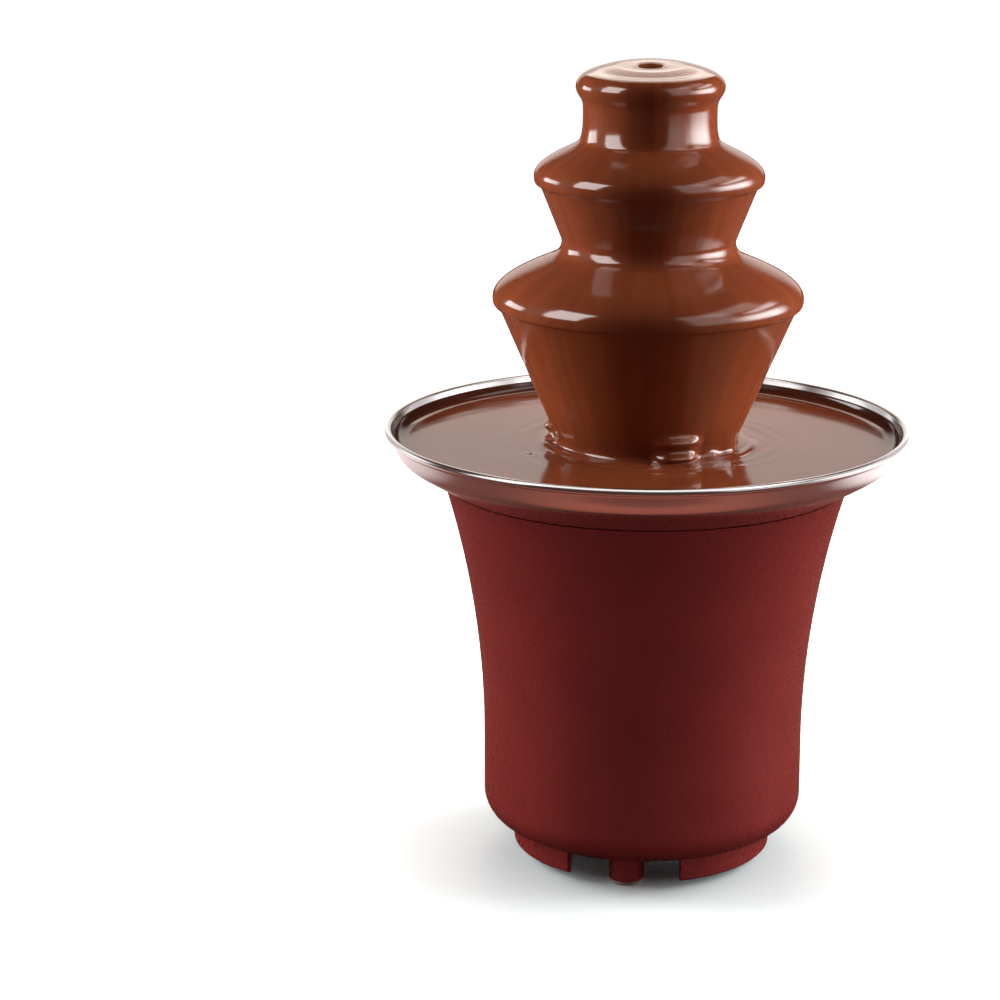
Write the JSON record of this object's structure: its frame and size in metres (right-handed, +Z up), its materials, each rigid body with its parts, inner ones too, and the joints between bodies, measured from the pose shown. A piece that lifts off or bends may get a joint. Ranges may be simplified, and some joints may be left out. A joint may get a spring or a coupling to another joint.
{
  "type": "chocolate fountain",
  "caption": "Tabletop fountain: a flared heated base with a shallow steel bowl, and an auger tower that lifts melted chocolate to fall in curtains from tier to tier.",
  "frame": {"origin": "on the table, under the middle of the base, in the plane of the foot pads' undersides", "axes": "+Z up along the tower and the auger's axis, -Y towards the front, +X to the right of someone facing the front"},
  "size_m": [0.165, 0.165, 0.2543],
  "materials": {
    "burgundy_plastic": "satin moulded burgundy plastic",
    "foot_rubber": "soft grey rubber",
    "seal_rubber": "dark grey silicone",
    "stainless": "polished stainless sheet",
    "zinc_steel": "zinc-plated steel",
    "aluminium": "plain aluminium",
    "bronze": "sintered bronze and brass",
    "copper": "enamelled copper wire",
    "black_plastic": "fine-grained black plastic",
    "ferrite": "sintered ferrite",
    "white_nylon": "natural nylon",
    "brown_plastic": "dark brown moulded plastic",
    "melted_chocolate": "glossy melted milk chocolate"
  },
  "bodies": {
    "base": {"housing": "burgundy_plastic", "base_plate": "burgundy_plastic", "foot_pad_1": "foot_rubber", "foot_pad_2": "foot_rubber", "foot_pad_3": "foot_rubber", "base_screws": "zinc_steel", "bowl": "stainless", "bowl_seal": "seal_rubber", "weld_studs": "stainless", "stud_nuts": "zinc_steel", "chocolate_pool": "melted_chocolate", "bowl_hub": "black_plastic", "hub_gasket": "seal_rubber", "hub_nut": "black_plastic", "hub_bush": "bronze", "heater_ring": "aluminium", "heater_clamp": "aluminium", "thermostat": "black_plastic", "thermal_fuse": "white_nylon", "motor_deck": "zinc_steel", "deck_screws": "zinc_steel", "motor_screws": "zinc_steel", "motor_can": "zinc_steel", "motor_cover": "zinc_steel", "gear_plate": "zinc_steel", "stator_bobbin": "white_nylon", "stator_winding": "copper", "pole_ring": "zinc_steel", "idler_pin": "stainless", "output_bush": "bronze", "rear_panel": "burgundy_plastic", "switch_frame": "black_plastic", "switch_blades": "bronze", "cord_gland": "black_plastic", "gland_nut": "black_plastic"},
    "drive": {"output_gear": "white_nylon", "drive_shaft": "stainless", "auger": "white_nylon"},
    "idler": {"idler_gear": "white_nylon"},
    "rotor": {"rotor_magnet": "ferrite", "rotor_shaft": "stainless", "rotor_pinion": "white_nylon"},
    "tower": {"tower_tube": "brown_plastic", "lower_tier": "brown_plastic", "upper_tier": "brown_plastic", "crown": "brown_plastic", "crown_flow": "melted_chocolate", "upper_flow": "melted_chocolate", "lower_flow": "melted_chocolate"},
    "rocker": {"switch_rocker": "black_plastic"}
  },
  "joints": [
    {"name": "tower_lift", "type": "slide", "parent": "base", "child": "tower", "axis": [0, 0, 1], "range_m": [0, 0.14]},
    {"name": "auger_spin", "type": "hinge", "parent": "base", "child": "drive", "pos_m": [0, 0, 0.125], "axis": [0, 0, 1], "continuous": true},
    {"name": "idler_spin", "type": "hinge", "parent": "base", "child": "idler", "pos_m": [0.0125, 0, 0.093], "axis": [0, 0, 1], "continuous": true},
    {"name": "rotor_spin", "type": "hinge", "parent": "base", "child": "rotor", "pos_m": [0, 0, 0.085], "axis": [0, 0, 1], "continuous": true},
    {"name": "switch_rock", "type": "hinge", "parent": "base", "child": "rocker", "pos_m": [0, 0.05022, 0.051], "axis": [1, 0, 0], "range_deg": [-10, 10]}
  ],
  "couplings": [
    {"joint": "idler_spin", "follows": "auger_spin", "ratio": -2.125},
    {"joint": "rotor_spin", "follows": "auger_spin", "ratio": 5.4643}
  ]
}
